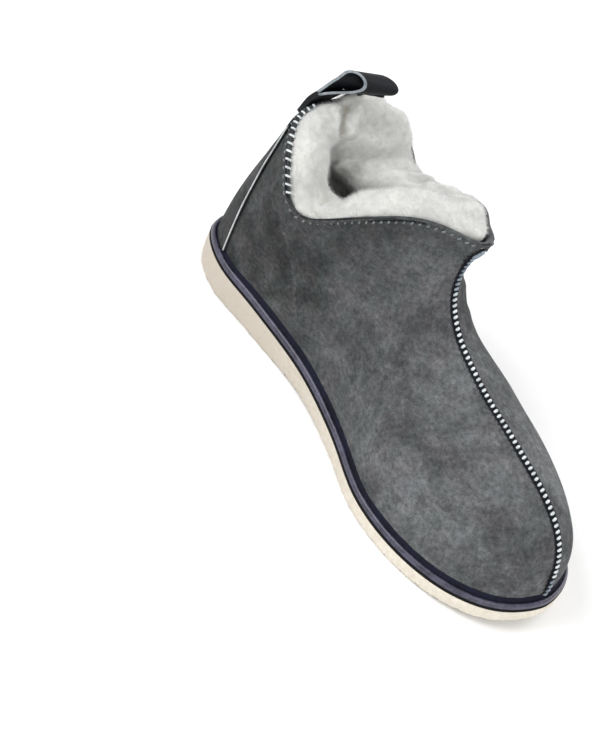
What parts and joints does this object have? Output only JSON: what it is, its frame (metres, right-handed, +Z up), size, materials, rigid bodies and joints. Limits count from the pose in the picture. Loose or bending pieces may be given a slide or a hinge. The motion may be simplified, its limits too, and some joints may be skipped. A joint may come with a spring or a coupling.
{
  "type": "sheepskin slipper",
  "caption": "Ankle-high suede slipper for the left foot, lined with thick wool, with a raised centre seam, a leather welt, a wedge sole and a pull loop at the back.",
  "frame": {"origin": "on the floor, under the middle of the heel, at the centre of the heel's flat resting spot", "axes": "+X from the heel to the toe, +Y to the wearer's left (the outer side of this left shoe), +Z up"},
  "size_m": [0.29, 0.1089, 0.1635],
  "materials": {
    "suede": "matte napped suede, mottled charcoal grey",
    "wool": "thick cream-white shorn wool",
    "welt_leather": "smooth blue-black leather with a soft shine",
    "loop_leather": "black grained leather",
    "sole_foam": "matte cream foam with a crepe grain"
  },
  "bodies": {
    "root": {"outsole": "sole_foam", "welt": "welt_leather", "insole": "wool", "upper": "suede", "fleece_lining": "wool", "back_strip": "suede", "pull_loop": "loop_leather"}
  },
  "joints": []
}
